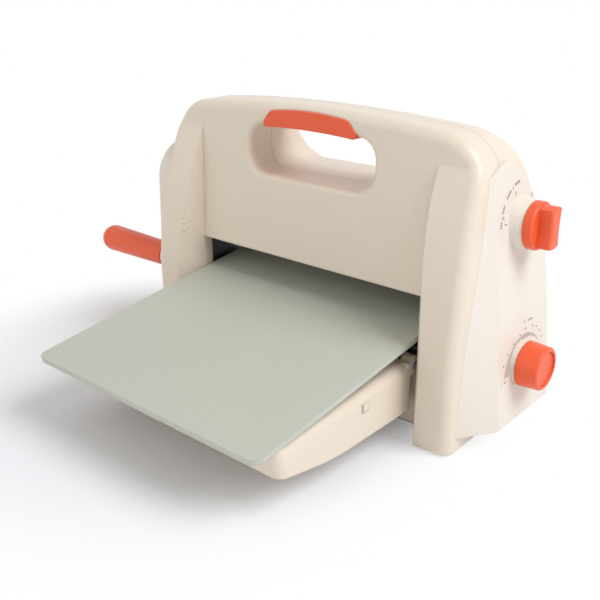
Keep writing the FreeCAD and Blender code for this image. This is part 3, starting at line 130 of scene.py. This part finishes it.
def srgb(red, green, blue):
    """A colour as the shader wants it, from screen values of 0 to 255."""
    channels = []
    for value in (red / 255, green / 255, blue / 255):
        channels.append(value / 12.92 if value <= 0.04045 else ((value + 0.055) / 1.055) ** 2.4)
    return (*channels, 1.0)


class Wire:
    """A socket of a material's nodes that takes part in Python expressions."""

    def __init__(self, tree, socket=None):
        self.tree = tree
        self.socket = socket

    def node(self, kind, inputs=None, output=0, **settings):
        """Adds a node: its settings first, then values or links for its sockets."""
        node = self.tree.nodes.new("ShaderNode" + kind)
        for name, value in settings.items():
            setattr(node, name, value)
        for name, value in (inputs or {}).items():
            if isinstance(value, Wire):
                self.tree.links.new(value.socket, node.inputs[name])
            else:
                node.inputs[name].default_value = value
        return Wire(self.tree, node.outputs[output])

    def maths(self, operation, first, second):
        return self.node("Math", {0: first, 1: second}, operation=operation)

    def __add__(self, other):
        return self.maths("ADD", self, other)

    __radd__ = __add__

    def __mul__(self, other):
        return self.maths("MULTIPLY", self, other)

    __rmul__ = __mul__


def new_material(name):
    """A material with only a Principled shader, its tree as a Wire, and the shader's node."""
    material = bpy.data.materials.new(name)
    material.use_nodes = True
    shader = material.node_tree.nodes["Principled BSDF"]
    return material, Wire(material.node_tree), shader


def plug(wire, shader, socket):
    wire.tree.links.new(wire.socket, shader.inputs[socket])


def fix(shader, values):
    """Sets sockets that stay the same all over a surface."""
    for socket, value in values.items():
        shader.inputs[socket].default_value = value


def blend(wires, factor, first, second):
    """A colour between two others."""
    return wires.node("Mix", {0: factor, 6: first, 7: second}, output=2, data_type="RGBA")


def object_place(wires):
    return wires.node("TexCoord", output="Object")


def stretch(wires, place, scales):
    """A place whose three axes have their own pattern scales."""
    return wires.node("Mapping", {"Vector": place, "Scale": scales})


def noise(wires, place, scale, detail=2.0, roughness=0.5):
    return wires.node("TexNoise", {"Vector": place, "Scale": scale, "Detail": detail, "Roughness": roughness})


def soft_edges(wires, radius, samples):
    """A normal that rounds the edges off."""
    return wires.node("Bevel", {"Radius": radius}, samples=samples)


def bumps(wires, height, strength, depth, **normal):
    """A normal with the bumps of a pattern, over another normal where one is given."""
    return wires.node("Bump", {"Strength": strength, "Distance": depth, "Height": height, **normal})


def moulded_plastic(name, colour, shade, roughness, grain, edge, coat=0.0):
    """Injection moulded plastic: a faint mottle, a fine spark-eroded grain and softened edges."""
    material, wires, shader = new_material(name)
    place = object_place(wires)
    mottle = noise(wires, place, scale=14.0, detail=3.0)
    flow = noise(wires, place, scale=90.0, detail=4.0, roughness=0.6)
    pores = noise(wires, place, scale=2600.0, detail=2.0, roughness=0.7)
    rub = noise(wires, place, scale=45.0, detail=5.0, roughness=0.65)
    tone = mottle * 0.6 + flow * 0.4
    uneven = roughness - 0.06 + rub * 0.1 + pores * 0.05
    relief = pores + flow * 0.3
    plug(blend(wires, tone, colour, shade), shader, "Base Color")
    plug(uneven, shader, "Roughness")
    rounded = soft_edges(wires, edge, samples=6)
    plug(bumps(wires, relief, strength=grain, depth=0.12 * MM, Normal=rounded), shader, "Normal")
    fix(shader, {"Specular IOR Level": 0.45, "Coat Weight": coat, "Coat Roughness": 0.25})
    return material


def cutting_plate():
    """The grey-green board: fine speckle, a soft sheen, and faint scuffs along its length."""
    material, wires, shader = new_material("cutting_plate")
    place = object_place(wires)
    cloud = noise(wires, place, scale=9.0, detail=4.0)
    speckle = noise(wires, place, scale=1900.0, detail=1.0, roughness=0.6)
    scuff = noise(wires, stretch(wires, place, (420.0, 12.0, 60.0)), scale=1.0, detail=3.0, roughness=0.6)
    tone = cloud * 0.4 + speckle * 0.35 + scuff * 0.25
    uneven = 0.38 + scuff * 0.14 + speckle * 0.06
    relief = speckle + scuff * 0.4
    plug(blend(wires, tone, srgb(182, 186, 174), srgb(202, 204, 192)), shader, "Base Color")
    plug(uneven, shader, "Roughness")
    rounded = soft_edges(wires, 0.6 * MM, samples=4)
    plug(bumps(wires, relief, strength=0.12, depth=0.1 * MM, Normal=rounded), shader, "Normal")
    fix(shader, {"Specular IOR Level": 0.4})
    return material


def turned_metal(name, light, dark, roughness):
    """Bare metal with fine marks along X, the way that the rollers and shafts lie."""
    material, wires, shader = new_material(name)
    place = object_place(wires)
    marks = noise(wires, stretch(wires, place, (40.0, 1500.0, 1500.0)), scale=1.0, detail=4.0, roughness=0.65)
    stain = noise(wires, place, scale=30.0, detail=4.0)
    plug(blend(wires, marks * 0.5 + stain * 0.5, dark, light), shader, "Base Color")
    plug(roughness + marks * 0.16, shader, "Roughness")
    plug(bumps(wires, marks, strength=0.1, depth=0.08 * MM), shader, "Normal")
    fix(shader, {"Metallic": 1.0})
    return material


def pad_rubber():
    """Dusty black rubber with a gritty skin."""
    material, wires, shader = new_material("pad_rubber")
    place = object_place(wires)
    grit = noise(wires, place, scale=700.0, detail=4.0, roughness=0.7)
    dust = noise(wires, place, scale=25.0, detail=4.0)
    plug(blend(wires, dust * grit, srgb(34, 34, 34), srgb(62, 61, 58)), shader, "Base Color")
    plug(0.72 + grit * 0.2, shader, "Roughness")
    plug(bumps(wires, grit, strength=0.3, depth=0.2 * MM), shader, "Normal")
    return material


def dial_ink(name, thin, thick):
    """Pad-printed ink, a little uneven where it was pressed."""
    material, wires, shader = new_material(name)
    patchy = noise(wires, object_place(wires), scale=900.0, detail=3.0, roughness=0.7)
    plug(blend(wires, patchy, thick, thin), shader, "Base Color")
    plug(0.5 + patchy * 0.2, shader, "Roughness")
    return material


# Finishes by material slot
FINISHES = {
    "casing": moulded_plastic("casing_plastic", srgb(233, 220, 203), srgb(226, 212, 194),
                              roughness=0.36, grain=0.10, edge=2.0 * MM, coat=0.12),
    "cover": moulded_plastic("cover_plastic", srgb(233, 225, 213), srgb(228, 219, 206),
                             roughness=0.40, grain=0.10, edge=0.2 * MM, coat=0.12),
    "trim": moulded_plastic("trim_plastic", srgb(242, 99, 55), srgb(234, 88, 46),
                            roughness=0.36, grain=0.08, edge=1.2 * MM, coat=0.05),
    "steel": turned_metal("roller_steel", srgb(150, 151, 153), srgb(112, 113, 116), roughness=0.36),
    "bush": turned_metal("bush_bronze", srgb(206, 170, 112), srgb(158, 120, 70), roughness=0.3),
    "gear": moulded_plastic("gear_nylon", srgb(62, 62, 64), srgb(48, 48, 50),
                            roughness=0.5, grain=0.12, edge=0.4 * MM),
    "pad": pad_rubber(),
    "plate": cutting_plate(),
}
INK = dial_ink("dial_ink", srgb(112, 106, 100), srgb(88, 83, 78))
PALE_INK = dial_ink("scale_ink", srgb(196, 183, 173), srgb(186, 173, 163))


def dress_nodes():
    """Gives every CAD node the finish of its slot."""
    for part in frame["record"]["subparts"]:
        mesh = frame["nodes"][part["node"]].data
        mesh.materials.clear()
        mesh.materials.append(FINISHES[part["material_slot"]])


def new_object(name, maker, material):
    """Turns a bmesh into an object of the scene."""
    mesh = bpy.data.meshes.new(name)
    maker.to_mesh(mesh)
    maker.free()
    mesh.materials.append(material)
    obj = bpy.data.objects.new(name, mesh)
    bpy.context.scene.collection.objects.link(obj)
    return obj


def piece(name, maker, body, material):
    """Turns a bmesh into a piece that rides on a body."""
    obj = new_object(name, maker, material)
    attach(obj, body)


def flat_place(y, z, turn=0.0):
    """A place in the flat drawing of the prints, with a turn."""
    return Matrix.Translation((y, z, 0.0)) @ Matrix.Rotation(turn, 4, "Z")


def wedge_radii(angle):
    """The wedge's outer and inner radius at an angle, between the listed ones."""
    for (start, outer0, inner0), (end, outer1, inner1) in zip(WEDGE, WEDGE[1:]):
        if end <= angle <= start:
            share = (start - angle) / (start - end)
            return outer0 + (outer1 - outer0) * share, inner0 + (inner1 - inner0) * share


def wedge_point(along, outwards):
    """A point of the wedge, from 0 to 1 along it and from 0 to 1 across it."""
    first, last = WEDGE[0][0], WEDGE[-1][0]
    angle = first + (last - first) * along
    outer, inner = wedge_radii(angle)
    radius = inner + (outer - inner) * outwards
    y, z = WEDGE_CENTRE
    return y + radius * cos(radians(angle)), z + radius * sin(radians(angle))


def draw_wedge(maker):
    """The wedge-shaped scale: a strip of one by one, bent into place."""
    bmesh.ops.create_grid(maker, x_segments=WEDGE_STEPS, y_segments=1, size=0.5)
    for vert in maker.verts:
        vert.co.xy = wedge_point(vert.co.x + 0.5, vert.co.y + 0.5)


def draw_dots(maker):
    for y, z in DOTS:
        bmesh.ops.create_circle(maker, cap_ends=True, segments=DOT_SIDES, radius=DOT_RADIUS,
                                matrix=flat_place(y, z))


def draw_tick(maker, y0, z0, y1, z1):
    """A short line from one place to another."""
    middle = flat_place((y0 + y1) / 2, (z0 + z1) / 2, atan2(z1 - z0, y1 - y0))
    size = Matrix.Diagonal((hypot(y1 - y0, z1 - z0), TICK_WIDTH, 1.0, 1.0))
    bmesh.ops.create_grid(maker, x_segments=1, y_segments=1, size=0.5, matrix=middle @ size)


def draw_mode_rows(maker):
    """Rows of short marks beside the mode knob's numbers."""
    y, z = MODE_AXIS
    for first, last in MODE_ROWS:
        for angle in range(first, last - 1, -MODE_ROW_STEP):
            ends = []
            for radius in MODE_ROW_RADII:
                ends += [y + radius * cos(radians(angle)), z + radius * sin(radians(angle))]
            draw_tick(maker, *ends)


def draw_number(maker, text, y, z, height, turn):
    """A number, turned by degrees about its middle, without the text's own UV map."""
    curve = bpy.data.curves.new("number", "FONT")
    curve.body = text
    curve.size = height
    curve.align_x = "CENTER"
    curve.align_y = "CENTER"
    holder = bpy.data.objects.new("number", curve)
    mesh = bpy.data.meshes.new_from_object(holder)
    mesh.transform(flat_place(y, z, radians(turn)))
    while mesh.uv_layers:
        mesh.uv_layers.remove(mesh.uv_layers[0])
    maker.from_mesh(mesh)
    bpy.data.objects.remove(holder)
    bpy.data.curves.remove(curve)
    bpy.data.meshes.remove(mesh)


def print_on_cover(name, maker, ink):
    """Lays a flat drawing on the right cover."""
    bmesh.ops.transform(maker, matrix=PRINT_PLACE, verts=maker.verts)
    piece(name, maker, "housing", ink)


def add_dial_prints():
    """Plain scales beside the two knobs."""
    scale = bmesh.new()
    draw_wedge(scale)
    print_on_cover("pressure_wedge", scale, PALE_INK)
    marks = bmesh.new()
    draw_dots(marks)
    for tick in TICKS:
        draw_tick(marks, *tick)
    draw_mode_rows(marks)
    for number in NUMBERS:
        draw_number(marks, *number)
    print_on_cover("dial_marks", marks, INK)


def add_bead(maker, middle, half_sizes, sides):
    """A rounded bead, in millimetres."""
    place = Matrix.Translation(Vector(middle) * MM) @ Matrix.Diagonal((*half_sizes, 1.0))
    bmesh.ops.create_uvsphere(maker, u_segments=sides, v_segments=sides // 2, radius=MM, matrix=place)


def add_knob_pips():
    """Three pips on the pressure knob's face."""
    pips = bmesh.new()
    for angle in PIP_ANGLES:
        y = PRESSURE_AXIS[0] + PIP_RING_RADIUS * cos(radians(angle))
        z = PRESSURE_AXIS[1] + PIP_RING_RADIUS * sin(radians(angle))
        add_bead(pips, (PIP_FACE_X, y, z), PIP_SIZE, PIP_SIDES)
    piece("knob_pips", pips, "pressure_control", FINISHES["trim"])


def add_tray_catches():
    """Two catches on the left leg that hold the folded tray."""
    catches = bmesh.new()
    for middle in CATCHES:
        add_bead(catches, middle, CATCH_SIZE, CATCH_SIDES)
    piece("tray_catches", catches, "housing", FINISHES["casing"])


def add_camera():
    """The camera, turned about the point that it looks at."""
    data = bpy.data.cameras.new("camera")
    data.sensor_width = CAMERA_SENSOR
    data.lens = CAMERA_LENS
    camera = bpy.data.objects.new("camera", data)
    turn = (Matrix.Rotation(CAMERA_AZIMUTH, 4, "Z") @ Matrix.Rotation(pi / 2 - CAMERA_ELEVATION, 4, "X")
            @ Matrix.Rotation(CAMERA_ROLL, 4, "Z"))
    back = turn.to_3x3() @ Vector((0, 0, 1))
    camera.matrix_world = Matrix.Translation(CAMERA_TARGET + back * CAMERA_DISTANCE) @ turn
    bpy.context.scene.collection.objects.link(camera)
    bpy.context.scene.camera = camera


def add_lamp(name, place, size, power, colour):
    """A round lamp that points at the machine."""
    data = bpy.data.lights.new(name, "AREA")
    data.shape = "DISK"
    data.size = size
    data.energy = power
    data.color = colour
    lamp = bpy.data.objects.new(name, data)
    lamp.location = place
    lamp.rotation_euler = (Vector(place) - LAMP_TARGET).to_track_quat("Z", "Y").to_euler()
    bpy.context.scene.collection.objects.link(lamp)


def seen_ray(wires):
    """One for rays that show the background: from the camera, or through gloss and glass."""
    camera = wires.node("LightPath", output="Is Camera Ray")
    gloss = wires.node("LightPath", output="Is Glossy Ray")
    glass = wires.node("LightPath", output="Is Transmission Ray")
    return wires.maths("MAXIMUM", wires.maths("MAXIMUM", camera, gloss), glass)


def add_world():
    """A studio that looks white and lights the machine at a plain level."""
    world = bpy.data.worlds.new("studio")
    bpy.context.scene.world = world
    world.use_nodes = True
    wires = Wire(world.node_tree)
    background = world.node_tree.nodes["Background"]
    fix(background, {"Color": WHITE})
    plug(WORLD_LIGHT + seen_ray(wires) * (1.0 - WORLD_LIGHT), background, "Strength")


def floor_paper():
    """White paper that keeps the machine's shadow and fades to plain white away from it."""
    material, wires, shader = new_material("floor_paper")
    fix(shader, {"Base Color": FLOOR_COLOUR, "Roughness": FLOOR_ROUGHNESS, "Specular IOR Level": 0.0})
    paper = Wire(wires.tree, shader.outputs[0])
    white = wires.node("Emission", {"Color": WHITE, "Strength": 1.0})
    away = wires.node("VectorMath", {0: object_place(wires), 1: SHADOW_MIDDLE}, output="Value",
                      operation="DISTANCE")
    fade = wires.node("MapRange", {"Value": away, "From Min": SHADOW_FADE[0], "From Max": SHADOW_FADE[1]},
                      interpolation_type="SMOOTHSTEP")
    shown = wires.node("MixShader", {0: fade * seen_ray(wires), 1: paper, 2: white})
    plug(shown, wires.tree.nodes["Material Output"], "Surface")
    return material


def add_floor():
    maker = bmesh.new()
    bmesh.ops.create_circle(maker, cap_ends=True, radius=FLOOR_RADIUS, segments=FLOOR_SIDES)
    floor = new_object("floor", maker, floor_paper())


dress_nodes()
add_dial_prints()
add_knob_pips()
add_tray_catches()
add_camera()
add_world()
add_floor()
add_lamp("window_key", KEY_PLACE, KEY_SIZE, KEY_POWER, KEY_COLOUR)
add_lamp("front_fill", FILL_PLACE, FILL_SIZE, FILL_POWER, FILL_COLOUR)

bpy.context.scene.view_settings.view_transform = "Standard"
